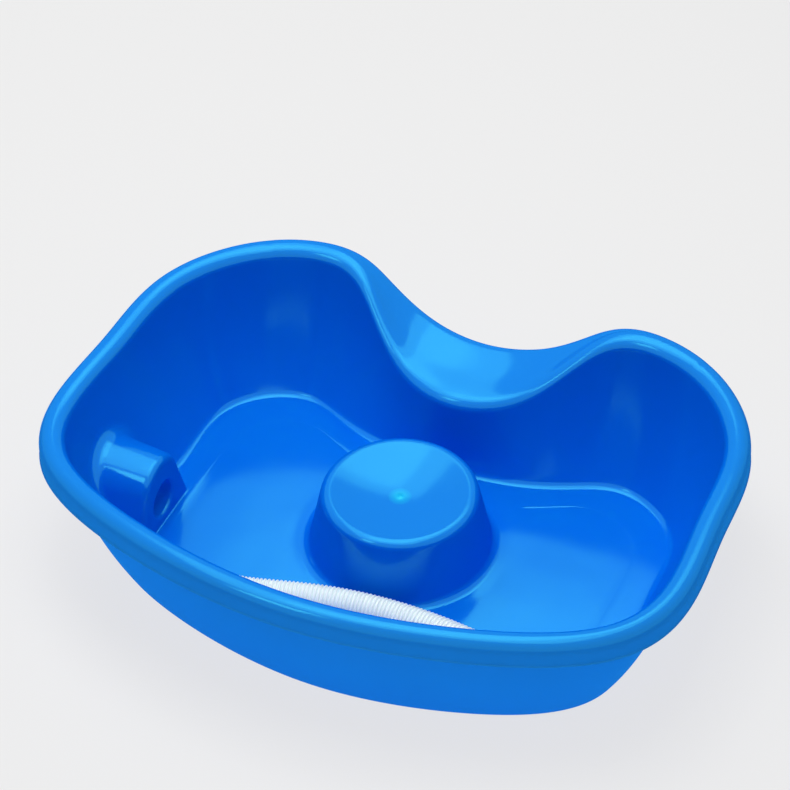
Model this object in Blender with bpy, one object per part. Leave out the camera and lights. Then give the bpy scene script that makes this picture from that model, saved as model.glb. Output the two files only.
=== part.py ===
"""Portable shampoo basin: a one-piece moulded tub with a neck notch, a head rest and a drain,
and the loose ribbed drain hose, with its two end fittings, that lies in the tub.

Metres, +Z up. The origin is on the standing surface under the middle of the tub.
+X runs along the tub, and +Y points to the side with the notch for the neck.
"""

import math

import bmesh
import bpy
from mathutils import Vector

# Tub: outside, over the rolled rim
TUB_LENGTH = 0.540
TUB_WIDTH = 0.4025
RIM_HEIGHT = 0.127  # top of the rim above the inner floor
WALL = 0.003
ROLL_RADIUS = 0.011
SKIRT_DROP = 0.0215  # from the top of the rim to the skirt's lower edge

# Rim seen from above: half a closed smooth line, from the middle of the notch to the front
RIM_PLAN_SHARES = (
    (0.000, 0.899), (0.220, 0.949), (0.372, 0.974), (0.498, 1.021), (0.779, 0.930), (0.998, 0.550),
    (0.978, 0.095), (1.019, -0.317), (0.935, -0.685), (0.511, -0.920), (0.000, -1.040),
)

# Neck rest: how deep the rim dips there, and how far its inner crest lies inside the rim's line
NECK_DIP = 0.050
NECK_DEPTH = 0.059
NECK_RIM_DIP_SHARES = (1.00, 0.88, 0.24, -0.05)
NECK_CREST_DIP_SHARES = (1.08, 1.05, 0.16, -0.05)
NECK_CREST_DEPTH_SHARES = (1.00, 0.73, 0.20, 0.00)

# Floor: the line where the walls, drawn on straight, would meet it
FLOOR_LENGTH = 0.425
FLOOR_WIDTH = 0.2943
FLOOR_FORWARD = 0.0093  # the floor's middle lies this far in front of the rim's middle
FLOOR_FILLET = 0.008
WALL_SWEEP_RADIUS = 0.280  # the walls bulge outward a little, on this radius
FLOOR_PLAN_SHARES = (
    (0.000, 0.768), (0.311, 0.809), (0.499, 0.931), (0.635, 1.023), (0.809, 0.969), (0.998, 0.707),
    (0.955, 0.211), (1.021, -0.319), (0.929, -0.628), (0.605, -0.872), (0.000, -1.065),
)

# Head rest: a hollow round block with a dished top
REST_TOP_DIAMETER = 0.128
REST_BASE_DIAMETER = 0.1494
REST_HEIGHT = 0.0586
REST_BACK = 0.0118  # its axis lies this far behind the tub's middle
REST_EDGE_RADIUS = 0.008
REST_DISH = 0.008
REST_FOOT_FILLET = 0.008

# Drain: a hollow boss on the end wall, with a bore and a short spigot in the recess behind it
BORE_DIAMETER = 0.031
BORE_SILL = 0.0075  # the bore's lowest point above the inner floor
BORE_LIP = 0.0025
BORE_FORWARD = 0.0412  # the bore's axis lies this far in front of the tub's middle
BOSS_REACH = 0.0262  # from the foot of the end wall to the boss's flat face
BOSS_ARCH_RADIUS = 0.0285
BOSS_ARCH_RISE = 0.012  # the arch's centre above the bore's axis
BOSS_FLARE = math.radians(18.5)
BOSS_EDGE_RADIUS = 0.006
BOSS_BLEND_RADIUS = 0.012  # where the boss runs into the end wall
BOSS_DRAFT = math.radians(5.0)
SPIGOT_WALL = 0.0025
SPIGOT_LENGTH = 0.026

# Hose: ribbed tube that lies on the floor in front of the head rest
HOSE_DIAMETER = 0.028
HOSE_RIB_PITCH = 0.0032
HOSE_RIB_DEPTH = 0.0013
HOSE_WALL = 0.0012
HOSE_ROUTE = (
    (-0.1360, -0.1070, 0.0197), (-0.1266, -0.1072, 0.0190), (-0.1173, -0.1072, 0.0184),
    (-0.1079, -0.1069, 0.0179), (-0.0985, -0.1061, 0.0176), (-0.0880, -0.1045, 0.0174),
    (-0.0780, -0.1022, 0.0174), (-0.0660, -0.0988, 0.0174), (-0.0480, -0.0936, 0.0174),
    (-0.0240, -0.0875, 0.0174), (0.0000, -0.0833, 0.0174), (0.0240, -0.0810, 0.0174),
    (0.0456, -0.0804, 0.0174), (0.0700, -0.0812, 0.0174), (0.0920, -0.0833, 0.0174),
    (0.1040, -0.0849, 0.0175), (0.1160, -0.0860, 0.0176), (0.1280, -0.0863, 0.0177),
    (0.1400, -0.0859, 0.0179), (0.1500, -0.0853, 0.0181), (0.1600, -0.0847, 0.0183),
    (0.1700, -0.0841, 0.0185),
)

# Hose plug: goes into the bore, up to its flange
PLUG_SLEEVE_LENGTH = 0.010
PLUG_FLANGE_WIDTH = 0.0025  # how far the flange stands proud of the bore
PLUG_FLANGE_THICKNESS = 0.003
PLUG_NOSE_LENGTH = 0.018
PLUG_NOSE_TAPER = 0.0010
PLUG_SEAL_HEIGHT = 0.0004
PLUG_SEAL_WIDTH = 0.0025

# Hose cuff: the plain moulded mouth at the other end
CUFF_LENGTH = 0.024
CUFF_RIM_WIDTH = 0.003
CUFF_RIM_HEIGHT = 0.0010

# Clearances and cutting
TOUCH_GAP = 0.0003
BORE_FIT = 0.0003
OVERRUN = 0.002
MERGE_GAP = 0.00001

# Facets
SPAN_STEPS = 5
FILLET_STEPS = 3
WALL_STEPS = 3
ROLL_STEPS = 5
BACK_ROLL_STEPS = 4
TURN_STEPS = 48
BORE_STEPS = 32
DISH_STEPS = 3
ARCH_STEPS = 14

FLOOR_TOP = WALL
ROLL_Z = FLOOR_TOP + RIM_HEIGHT - ROLL_RADIUS
BORE_RADIUS = BORE_DIAMETER / 2
BORE_Z = FLOOR_TOP + BORE_SILL + BORE_RADIUS
BOSS_FACE_X = BOSS_REACH - FLOOR_LENGTH / 2
HOSE_RADIUS = HOSE_DIAMETER / 2
HOSE_BORE_RADIUS = HOSE_RADIUS - HOSE_RIB_DEPTH - HOSE_WALL


def clear_scene():
    """Remove the objects of the scene that the file opens with."""
    for obj in list(bpy.data.objects):
        bpy.data.objects.remove(obj, do_unlink=True)


def make_material(name, color, roughness, metallic=0.0):
    """A plain finish with one colour."""
    material = bpy.data.materials.new(name)
    material.use_nodes = True
    shader = material.node_tree.nodes["Principled BSDF"]
    shader.inputs["Base Color"].default_value = (*color, 1.0)
    shader.inputs["Roughness"].default_value = roughness
    shader.inputs["Metallic"].default_value = metallic
    return material


def add_object(name, mesh, material=None):
    """Put a mesh in the scene as one named piece."""
    obj = bpy.data.objects.new(name, mesh)
    bpy.context.scene.collection.objects.link(obj)
    if material:
        mesh.materials.append(material)
    return obj


def finish_mesh(name, shape, smooth_angle=math.radians(40)):
    """Turn the working mesh into mesh data with merged seams and outward faces."""
    bmesh.ops.remove_doubles(shape, verts=shape.verts, dist=MERGE_GAP)
    bmesh.ops.recalc_face_normals(shape, faces=shape.faces)
    mesh = bpy.data.meshes.new(name)
    shape.to_mesh(mesh)
    shape.free()
    mesh.shade_smooth()
    mesh.set_sharp_from_angle(angle=smooth_angle)
    return mesh


def hide_cutter(obj):
    """Mark a helper solid that only cuts or guides."""
    obj.hide_render = True
    obj.display_type = "WIRE"


def boolean(obj, operation, other):
    """Join another solid to a piece, or cut it away."""
    modifier = obj.modifiers.new(other.name, "BOOLEAN")
    modifier.operation = operation
    modifier.solver = "EXACT"
    modifier.object = other


def smooth_loop(half_points, steps):
    """Closed uniform cubic B-spline through a half outline and its mirror image."""
    mirrored = [Vector((-p[0], *p[1:])) for p in half_points[-2:0:-1]]
    control = [Vector(p) for p in half_points] + mirrored
    loop = []
    for index in range(len(control)):
        a, b, c, d = (control[(index + shift) % len(control)] for shift in (-1, 0, 1, 2))
        for step in range(steps):
            t = step / steps
            loop.append(
                (a * (1 - t) ** 3 + b * (3 * t**3 - 6 * t**2 + 4)
                 + c * (3 * t + 3 * t**2 - 3 * t**3 + 1) + d * t**3) / 6
            )
    return loop


def plan_fit(shares, length, width):
    """Scale and shift that make the smooth line of a plan just as long and wide as given."""
    loop = smooth_loop([(x, y, 0) for x, y in shares], SPAN_STEPS)
    top = max(p.y for p in loop)
    bottom = min(p.y for p in loop)
    x_scale = length / 2 / max(p.x for p in loop)
    y_scale = width / (top - bottom)
    return x_scale, y_scale, -(top + bottom) / 2 * y_scale


def plan_points(shares, length, width):
    """Control points of a plan outline in metres, centred on the origin."""
    x_scale, y_scale, y_shift = plan_fit(shares, length, width)
    return [(x * x_scale, y * y_scale + y_shift) for x, y in shares]


def padded(shares, count):
    """Shares for every control point: those not named are zero."""
    return list(shares) + [0.0] * (count - len(shares))


def rim_lines():
    """Centre lines of the rim's outer roll and of its inner crest, with their heights."""
    plan = plan_points(RIM_PLAN_SHARES, TUB_LENGTH - 2 * ROLL_RADIUS, TUB_WIDTH - 2 * ROLL_RADIUS)
    rim_dips = padded(NECK_RIM_DIP_SHARES, len(plan))
    crest_dips = padded(NECK_CREST_DIP_SHARES, len(plan))
    crest_depths = padded(NECK_CREST_DEPTH_SHARES, len(plan))
    rim = [(x, y, ROLL_Z - NECK_DIP * dip) for (x, y), dip in zip(plan, rim_dips)]
    crest = [
        (x, y - NECK_DEPTH * depth, ROLL_Z - NECK_DIP * dip)
        for (x, y), dip, depth in zip(plan, crest_dips, crest_depths)
    ]
    return smooth_loop(rim, SPAN_STEPS), smooth_loop(crest, SPAN_STEPS)


def floor_line():
    """The sharp line where the walls would meet the floor."""
    plan = plan_points(FLOOR_PLAN_SHARES, FLOOR_LENGTH, FLOOR_WIDTH)
    return smooth_loop([(x, y - FLOOR_FORWARD, FLOOR_TOP) for x, y in plan], SPAN_STEPS)


def outward(loop, index):
    """Level direction square to a loop, pointing out of the tub."""
    along = loop[(index + 1) % len(loop)] - loop[index - 1]
    return Vector((-along.y, along.x, 0)).normalized()


class Section:
    """The tub's wall at one station: every curve of it in the plane from the floor to the rim."""

    def __init__(self, foot, crest, rim, rim_out):
        self.foot, self.crest, self.rim, self.rim_out = foot, crest, rim, rim_out
        run = Vector((crest.x - foot.x, crest.y - foot.y, 0))
        rise = crest.z - foot.z
        reach = math.hypot(run.length, rise)
        self.out = run.normalized()
        self.lean = math.atan2(rise, run.length) + math.asin(ROLL_RADIUS / reach)
        across = math.hypot(rim.x - crest.x, rim.y - crest.y)
        self.tilt = math.atan2(rim.z - crest.z, across) if across > MERGE_GAP else 0.0

    def arc(self, centre, level_out, radius, first, last, steps):
        """Points round a centre, between two angles measured from level outward."""
        turns = [first + (last - first) * step / steps for step in range(steps + 1)]
        return [centre + level_out * radius * math.cos(a) + Vector((0, 0, radius * math.sin(a))) for a in turns]

    def wall(self, depth):
        """Points from the floor up the wall to the start of the roll, depth behind the inner face."""
        down, upright = math.radians(-90), math.radians(90)
        span = math.hypot(self.crest.z - self.foot.z, (self.crest - self.foot).xy.length)
        bow = math.asin(min(1.0, span / (2 * WALL_SWEEP_RADIUS)))
        high_lean = self.lean + max(0.0, min(bow, upright - self.lean))
        centre = self.foot - self.out * FLOOR_FILLET * math.tan(self.lean / 2)
        centre.z += FLOOR_FILLET
        points = self.arc(centre, self.out, FLOOR_FILLET + depth, down, down + self.lean - bow, FILLET_STEPS)
        start = points[-1]
        turn = upright + high_lean
        end = self.arc(self.crest, self.out, ROLL_RADIUS - depth, turn, turn, 1)[0]
        chord = end - start
        side = self.out * chord.z - Vector((0, 0, chord.dot(self.out)))
        bulge = side.normalized() * chord.length**2 / (8 * WALL_SWEEP_RADIUS)
        for step in range(1, WALL_STEPS):
            share = step / WALL_STEPS
            points.append(start + chord * share + bulge * 4 * share * (1 - share))
        return points, turn

    def profile(self, roll_steps, depth):
        """All points from the floor to the skirt's edge, on the face at that depth."""
        points, turn = self.wall(depth)
        top = math.radians(90) + self.tilt
        radius = ROLL_RADIUS - depth
        points += self.arc(self.crest, self.out, radius, turn, top, roll_steps)
        points += self.arc(self.rim, self.rim_out, radius, top, 0.0, roll_steps)
        edge = points[-1].copy()
        edge.z = self.rim.z + ROLL_RADIUS - SKIRT_DROP
        return points + [edge]


def tub_sections():
    """One section for each station round the tub."""
    rim, crest = rim_lines()
    foot = floor_line()
    return [Section(foot[i], crest[i], rim[i], outward(rim, i)) for i in range(len(rim))]


def loft(shape, rings):
    """Join closed rings of points, each to the next, and return the rings of vertices."""
    made = [[shape.verts.new(point) for point in ring] for ring in rings]
    for lower, upper in zip(made, made[1:]):
        for i in range(len(lower)):
            shape.faces.new((lower[i - 1], lower[i], upper[i], upper[i - 1]))
    return made


def spin_profile(shape, profile, start, along, steps):
    """Turn a profile of (distance along, radius) once round an axis."""
    side = along.orthogonal().normalized()
    chain = [shape.verts.new(start + along * d + side * r) for d, r in profile]
    edges = [shape.edges.new(pair) for pair in zip(chain, chain[1:])]
    bmesh.ops.spin(
        shape, geom=chain + edges, cent=start, axis=along, angle=math.tau, steps=steps, use_merge=True
    )


def rest_profile(depth, edge_steps):
    """Heights and radii of the head rest, from its axis to the floor, at a depth below its face."""
    edge_r = REST_TOP_DIAMETER / 2 - REST_EDGE_RADIUS
    edge_z = REST_HEIGHT - REST_EDGE_RADIUS
    drop = REST_EDGE_RADIUS - REST_DISH
    dish_radius = (edge_r**2 + drop**2 - REST_EDGE_RADIUS**2) / (2 * REST_DISH)
    dish_turn = math.asin(edge_r / (dish_radius + REST_EDGE_RADIUS))
    dish_z = REST_HEIGHT - REST_DISH + dish_radius
    base_r = REST_BASE_DIAMETER / 2
    lean = math.atan2(edge_z, base_r - edge_r) + math.asin(REST_EDGE_RADIUS / math.hypot(edge_z, base_r - edge_r))
    foot_r = base_r + REST_FOOT_FILLET * math.tan(lean / 2)
    points = []
    for step in range(DISH_STEPS + 1):
        turn = dish_turn * step / DISH_STEPS
        radius = dish_radius + depth
        points.append((dish_z - radius * math.cos(turn), radius * math.sin(turn)))
    for step in range(1, edge_steps + 1):
        turn = dish_turn - (dish_turn + lean) * step / edge_steps
        radius = REST_EDGE_RADIUS - depth
        points.append((edge_z + radius * math.cos(turn), edge_r - radius * math.sin(turn)))
    for step in range(FILLET_STEPS + 1):
        turn = lean * (1 - step / FILLET_STEPS)
        radius = REST_FOOT_FILLET + depth
        points.append((REST_FOOT_FILLET - radius * math.cos(turn), foot_r - radius * math.sin(turn)))
    return points


def build_shell():
    """The tub without its drain: floor, walls, rolled rim with its skirt, neck rest and head rest."""
    shape = bmesh.new()
    sections = tub_sections()
    front = [s.profile(ROLL_STEPS, 0.0) for s in sections]
    back = [s.profile(BACK_ROLL_STEPS, WALL) for s in sections]
    loft(shape, [list(ring) for ring in zip(*front)] + [list(ring) for ring in zip(*back)][::-1])
    rest_foot = Vector((0, REST_BACK, FLOOR_TOP))
    for depth, edge_steps in ((0.0, ROLL_STEPS), (WALL, BACK_ROLL_STEPS)):
        spin_profile(shape, rest_profile(depth, edge_steps), rest_foot, Vector((0, 0, 1)), TURN_STEPS)
    bmesh.ops.remove_doubles(shape, verts=shape.verts, dist=MERGE_GAP)
    open_edges = [edge for edge in shape.edges if edge.is_boundary]
    floor_edges = [edge for edge in open_edges if edge.verts[0].co.z > FLOOR_TOP / 2]
    under_edges = [edge for edge in open_edges if edge.verts[0].co.z < FLOOR_TOP / 2]
    bmesh.ops.triangle_fill(shape, use_beauty=True, edges=floor_edges)
    bmesh.ops.triangle_fill(shape, use_beauty=True, edges=under_edges)
    return finish_mesh("tub", shape)


def build_core():
    """Solid that ends half way through the floor and the walls, closed over the top."""
    shape = bmesh.new()
    columns = [s.wall(WALL / 2)[0] for s in tub_sections()]
    rings = loft(shape, [list(ring) for ring in zip(*columns)])
    shape.faces.new(rings[0])
    tip = shape.verts.new(Vector((0, 0, ROLL_Z)))
    for i in range(len(columns)):
        shape.faces.new((tip, rings[-1][i - 1], rings[-1][i]))
    return finish_mesh("tub_core", shape)


def end_wall_x(columns, y, z):
    """Where the inner face of the drain's end wall stands at a place along it and a height."""
    line = []
    for column in columns:
        for lower, upper in zip(column, column[1:]):
            if lower.z <= z <= upper.z and lower.z < upper.z and lower.x < 0:
                line.append(lower.lerp(upper, (z - lower.z) / (upper.z - lower.z)))
                break
    line.sort(key=lambda point: point.y)
    for near, far in zip(line, line[1:]):
        if near.y <= y <= far.y and near.y < far.y:
            return near.lerp(far, (y - near.y) / (far.y - near.y)).x
    return min(point.x for point in line)


def arch_outline(grow, bottom):
    """Flared arch round the bore, grown on all sides, from one foot to the other."""
    centre_z = BORE_Z + BOSS_ARCH_RISE
    radius = BOSS_ARCH_RADIUS + grow
    sweep = math.pi - 2 * BOSS_FLARE
    points = []
    for step in range(ARCH_STEPS + 1):
        turn = BOSS_FLARE + sweep * step / ARCH_STEPS
        points.append((radius * math.cos(turn), centre_z + radius * math.sin(turn)))
    side, height = points[0]
    foot = side + (height - bottom) * math.tan(BOSS_FLARE)
    outline = [(foot, bottom)] + points + [(-foot, bottom)]
    return [(y - BORE_FORWARD, z) for y, z in outline]


def arch_edge(face_x, inset, edge_radius, bottom):
    """Rings of the arched block from its flat face round to its sides."""
    rings = []
    for step in range(FILLET_STEPS + 1):
        turn = math.pi / 2 * step / FILLET_STEPS
        grow = -inset - edge_radius * (1 - math.sin(turn))
        x = face_x - edge_radius * (1 - math.cos(turn))
        rings.append([Vector((x, y, z)) for y, z in arch_outline(grow, bottom)])
    return rings


def close_block(name, rings):
    """Solid from a stack of rings, closed by a flat face at each end."""
    shape = bmesh.new()
    made = loft(shape, rings)
    shape.faces.new(made[0])
    shape.faces.new(made[-1])
    return finish_mesh(name, shape)


def build_boss():
    """The boss as a solid block that widens softly into the end wall."""
    columns = [s.wall(0.0)[0] + [s.crest] for s in tub_sections()]
    neck_x = BOSS_FACE_X - BOSS_EDGE_RADIUS
    draft = (neck_x - end_wall_x(columns, -BORE_FORWARD, BORE_Z)) * math.tan(BOSS_DRAFT)
    rings = arch_edge(BOSS_FACE_X, 0.0, BOSS_EDGE_RADIUS, 0.0)
    for step in range(FILLET_STEPS + 1):
        turn = math.pi / 2 * step / FILLET_STEPS
        stand_off = BOSS_BLEND_RADIUS * (1 - math.sin(turn)) - WALL / 4 * math.sin(turn)
        flare = BOSS_BLEND_RADIUS * (1 - math.cos(turn))
        ring = []
        for y, z in arch_outline(draft + flare, 0.0):
            wall_x = end_wall_x(columns, y, max(z, FLOOR_TOP + FLOOR_FILLET))
            ring.append(Vector((min(wall_x + stand_off, neck_x), y, z)))
        rings.append(ring)
    rings.append([Vector((-TUB_LENGTH / 2, point.y, point.z)) for point in rings[-1]])
    return close_block("drain_boss", rings)


def build_recess():
    """What is cut out behind the boss, so that its wall is as thin as the others."""
    edge_radius = max(BOSS_EDGE_RADIUS - WALL, WALL / 2)
    rings = arch_edge(BOSS_FACE_X - WALL, WALL, edge_radius, -OVERRUN)
    widen = (BOSS_FACE_X + TUB_LENGTH / 2) * math.tan(BOSS_DRAFT)
    rings.append([Vector((-TUB_LENGTH / 2, y, z)) for y, z in arch_outline(widen - WALL, -OVERRUN)])
    return close_block("drain_recess", rings)


def build_turned(name, profile, steps, start, along):
    """Solid turned round an axis from (distance along, radius), with flat ends."""
    shape = bmesh.new()
    closed = [(profile[0][0], 0.0), *profile, (profile[-1][0], 0.0)]
    spin_profile(shape, closed, start, along, steps)
    return finish_mesh(name, shape)


def build_tube(name, profile, bore_radius, start, along, material):
    """Turned sleeve with a plain bore right through it."""
    length = profile[-1][0]
    sleeve = build_turned(name, profile, BORE_STEPS, start, along)
    bore = ((-OVERRUN, bore_radius), (length + OVERRUN, bore_radius))
    cutter = add_object(name + "_bore", build_turned(name + "_bore", bore, BORE_STEPS, start, along))
    hide_cutter(cutter)
    obj = add_object(name, sleeve, material)
    boolean(obj, "DIFFERENCE", cutter)
    return obj


def build_basin(material):
    """The moulded tub in one piece, with the drain boss and its spigot."""
    basin = add_object("basin", build_shell(), material)
    core = add_object("tub_core", build_core())
    boss = add_object("drain_boss", build_boss())
    boolean(boss, "INTERSECT", core)
    recess = add_object("drain_recess", build_recess())
    outward_x = Vector((-1, 0, 0))
    root = Vector((BOSS_FACE_X - WALL / 2, -BORE_FORWARD, BORE_Z))
    tube_radius = BORE_RADIUS + SPIGOT_WALL
    spigot_profile = ((0.0, tube_radius), (SPIGOT_LENGTH, tube_radius))
    spigot = add_object("spigot", build_turned("spigot", spigot_profile, BORE_STEPS, root, outward_x))
    mouth = Vector((BOSS_FACE_X, -BORE_FORWARD, BORE_Z))
    bore_profile = [(-OVERRUN, BORE_RADIUS + BORE_LIP)]
    for step in range(FILLET_STEPS + 1):
        turn = math.pi / 2 * step / FILLET_STEPS
        bore_profile.append((BORE_LIP * (1 - math.cos(turn)), BORE_RADIUS + BORE_LIP * (1 - math.sin(turn))))
    bore_profile.append((WALL / 2 + SPIGOT_LENGTH + OVERRUN, BORE_RADIUS))
    bore = add_object("drain_bore", build_turned("drain_bore", bore_profile, BORE_STEPS, mouth, outward_x))
    for helper in (core, boss, recess, spigot, bore):
        hide_cutter(helper)
    boolean(basin, "UNION", boss)
    boolean(basin, "DIFFERENCE", recess)
    boolean(basin, "UNION", spigot)
    boolean(basin, "DIFFERENCE", bore)
    return basin


def smooth_route(points, pitch):
    """Points spaced evenly, about a pitch apart, on a smooth curve through the route's points."""
    route = [Vector(p) for p in points]
    ends = [route[0] * 2 - route[1]] + route + [route[-1] * 2 - route[-2]]
    fine = []
    for a, b, c, d in zip(ends, ends[1:], ends[2:], ends[3:]):
        steps = max(2, round((c - b).length / pitch * 8))
        for step in range(steps):
            t = step / steps
            fine.append(
                (b * 2 + (c - a) * t + (a * 2 - b * 5 + c * 4 - d) * t**2 + (b * 3 - a - c * 3 + d) * t**3) / 2
            )
    fine.append(route[-1])
    travel = [0.0]
    for a, b in zip(fine, fine[1:]):
        travel.append(travel[-1] + (b - a).length)
    count = max(2, round(travel[-1] / pitch))
    even, index = [], 0
    for step in range(count + 1):
        goal = travel[-1] * step / count
        while index < len(travel) - 2 and travel[index + 1] < goal:
            index += 1
        share = (goal - travel[index]) / (travel[index + 1] - travel[index])
        even.append(fine[index].lerp(fine[index + 1], share))
    return even, travel[-1]


def tube_mesh(name, points, radii):
    """Mesh of a round tube along points, with a radius at each, closed by flat ends."""
    curve = bpy.data.curves.new(name, "CURVE")
    curve.dimensions = "3D"
    curve.bevel_depth = 1.0
    curve.bevel_resolution = 2
    curve.use_fill_caps = True
    spline = curve.splines.new("POLY")
    spline.points.add(len(points) - 1)
    for slot, point, radius in zip(spline.points, points, radii):
        slot.co = (*point, 1.0)
        slot.radius = radius
    guide = bpy.data.objects.new(name + "_guide", curve)
    bpy.context.scene.collection.objects.link(guide)
    shape = bmesh.new()
    shape.from_mesh(bpy.data.meshes.new_from_object(guide.evaluated_get(bpy.context.evaluated_depsgraph_get())))
    bpy.data.objects.remove(guide, do_unlink=True)
    return finish_mesh(name, shape)


def least_gap(points, radius):
    """Smallest gap between stretches of the tube that are not next to each other."""
    apart = round(math.pi * HOSE_DIAMETER / HOSE_RIB_PITCH)
    gaps = [(points[i] - points[j]).length for i in range(len(points)) for j in range(i + apart, len(points))]
    return min(gaps) - 2 * radius


def build_hose(material):
    """The ribbed tube with its bore, one pair of rings to a rib."""
    points, length = smooth_route(HOSE_ROUTE, HOSE_RIB_PITCH / 2)
    radii = [HOSE_RADIUS - (HOSE_RIB_DEPTH if i % 2 == 0 else 0) for i in range(len(points))]
    hose = add_object("drain_hose", tube_mesh("drain_hose", points, radii), material)
    core, _ = smooth_route(HOSE_ROUTE, HOSE_RADIUS)
    core[0] += (core[0] - core[1]).normalized() * OVERRUN
    core[-1] += (core[-1] - core[-2]).normalized() * OVERRUN
    bore = add_object("hose_bore", tube_mesh("hose_bore", core, [HOSE_BORE_RADIUS] * len(core)))
    hide_cutter(bore)
    boolean(hose, "DIFFERENCE", bore)
    print(f"hose length {length:.4f} m, {len(points) // 2} ribs")
    print(f"least gap of the hose to itself {least_gap(points, HOSE_RADIUS) * 1000:.1f} mm")
    return points


def build_plug(points, material):
    """Push-in plug on the hose's first end: sleeve, flange, tapered nose with two sealing ribs."""
    along = (points[0] - points[1]).normalized()
    start = points[0] + along * TOUCH_GAP
    nose = BORE_RADIUS - BORE_FIT - PLUG_SEAL_HEIGHT
    flange_end = PLUG_SLEEVE_LENGTH + PLUG_FLANGE_THICKNESS
    tip = flange_end + PLUG_NOSE_LENGTH
    flange = BORE_RADIUS + PLUG_FLANGE_WIDTH - HOSE_RIB_DEPTH
    profile = [(0.0, HOSE_RADIUS), (PLUG_SLEEVE_LENGTH, HOSE_RADIUS), (PLUG_SLEEVE_LENGTH, flange)]
    profile += [(flange_end, flange), (flange_end, nose)]
    for middle in (1, 2):
        place = flange_end + PLUG_NOSE_LENGTH * middle / 4
        half = PLUG_SEAL_WIDTH / 2
        profile += [(place - half, nose), (place, nose + PLUG_SEAL_HEIGHT), (place + half, nose)]
    profile.append((tip, nose - PLUG_NOSE_TAPER))
    return build_tube("hose_plug", profile, HOSE_BORE_RADIUS, start, along, material)


def build_cuff(points, material):
    """Plain moulded mouth on the hose's far end, with a thicker lip."""
    along = (points[-1] - points[-2]).normalized()
    start = points[-1] + along * TOUCH_GAP
    lip = HOSE_RADIUS + CUFF_RIM_HEIGHT
    profile = [(0.0, HOSE_RADIUS), (CUFF_LENGTH - CUFF_RIM_WIDTH, HOSE_RADIUS)]
    profile += [(CUFF_LENGTH - CUFF_RIM_WIDTH, lip), (CUFF_LENGTH, lip)]
    return build_tube("hose_cuff", profile, HOSE_BORE_RADIUS, start, along, material)


def main():
    clear_scene()
    blue = make_material("blue_plastic", (0.005, 0.16, 0.78), 0.25)
    white = make_material("white_hose", (0.82, 0.84, 0.86), 0.40)
    grey = make_material("pale_fitting", (0.70, 0.73, 0.76), 0.45)
    build_basin(blue)
    points = build_hose(white)
    build_plug(points, grey)
    build_cuff(points, grey)


main()
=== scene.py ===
# %% [markdown]
# # A portable shampoo basin
# A shallow tub for washing the hair of someone who lies down. It is moulded in one piece from thin
# blue plastic: floor, leaning walls, a rolled rim with a hanging skirt, a dip at the back for the
# neck, a round rest for the head, and a boss in the left wall with the drain's bore. A loose ribbed
# hose with a plug and a cuff lies on its floor.
#
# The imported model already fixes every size. This script loads it as a frame, and then draws the
# fine surface of each piece round the same dimensions.

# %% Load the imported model
import math
from itertools import zip_longest

import bmesh
import bpy
from mathutils import Matrix, Vector
from mathutils.bvhtree import BVHTree
from mathutils.kdtree import KDTree


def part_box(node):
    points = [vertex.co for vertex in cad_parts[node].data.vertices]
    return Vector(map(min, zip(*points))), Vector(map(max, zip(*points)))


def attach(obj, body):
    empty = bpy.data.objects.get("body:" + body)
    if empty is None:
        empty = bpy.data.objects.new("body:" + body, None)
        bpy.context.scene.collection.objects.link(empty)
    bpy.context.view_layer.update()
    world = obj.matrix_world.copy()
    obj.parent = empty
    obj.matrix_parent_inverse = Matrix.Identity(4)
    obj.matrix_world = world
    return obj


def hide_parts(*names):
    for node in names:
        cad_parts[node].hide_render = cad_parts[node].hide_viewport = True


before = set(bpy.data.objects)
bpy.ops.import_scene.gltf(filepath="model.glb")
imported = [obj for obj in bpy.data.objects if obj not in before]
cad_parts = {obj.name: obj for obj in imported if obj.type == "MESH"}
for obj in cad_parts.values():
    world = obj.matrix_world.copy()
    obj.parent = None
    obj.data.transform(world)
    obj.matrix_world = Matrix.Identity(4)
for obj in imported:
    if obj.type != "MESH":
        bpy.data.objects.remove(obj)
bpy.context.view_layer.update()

# %% [markdown]
# ## Camera
# The camera stands high in front of the tub, a little to its right, and far away, so that near and
# far walls keep nearly the same scale. A place, two angles and a small roll say all of this, and
# the rotation is built from them: first the roll, then the tilt, then the turn round the tub.

# %% Camera
PICTURE_WIDTH = 790  # pixels
FOCAL_PIXELS = 2996.0
CAMERA_PLACE = Vector((0.7148, -1.53945, 1.7229))
CAMERA_AZIMUTH = math.radians(24.83)
CAMERA_ELEVATION = math.radians(42.40)
CAMERA_ROLL = math.radians(-0.964)
SENSOR_WIDTH = 36.0  # mm


def add_camera():
    """A long lens without depth of field, aimed by azimuth, elevation and roll."""
    camera = bpy.data.objects.new("camera", bpy.data.cameras.new("camera"))
    bpy.context.scene.collection.objects.link(camera)
    camera.data.sensor_width = SENSOR_WIDTH
    camera.data.lens = FOCAL_PIXELS * SENSOR_WIDTH / PICTURE_WIDTH
    camera.data.clip_end = 20.0
    turn = Matrix.Rotation(CAMERA_AZIMUTH, 4, "Z")
    tilt = Matrix.Rotation(math.radians(90) - CAMERA_ELEVATION, 4, "X")
    roll = Matrix.Rotation(CAMERA_ROLL, 4, "Z")
    camera.matrix_world = Matrix.Translation(CAMERA_PLACE) @ turn @ tilt @ roll
    bpy.context.scene.camera = camera
    print("camera lens", round(camera.data.lens, 2), "mm")


add_camera()

# %% [markdown]
# ## Small helpers
# Most pieces here are either turned round an axis or drawn as a grid whose rows follow the tub's
# outline. A grid operator gives a clean sheet of quads with its seam left open. Each vertex is then
# put in its place, and merging doubles closes the seam and the places where rows fall together. The
# other helpers share a length out evenly, walk round closed lines and find the nearest point.

# %% Helpers for meshes
MERGE_GAP = 0.00001
ROUTE_FINENESS = 8  # points of the fine curve for each one that is kept


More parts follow.
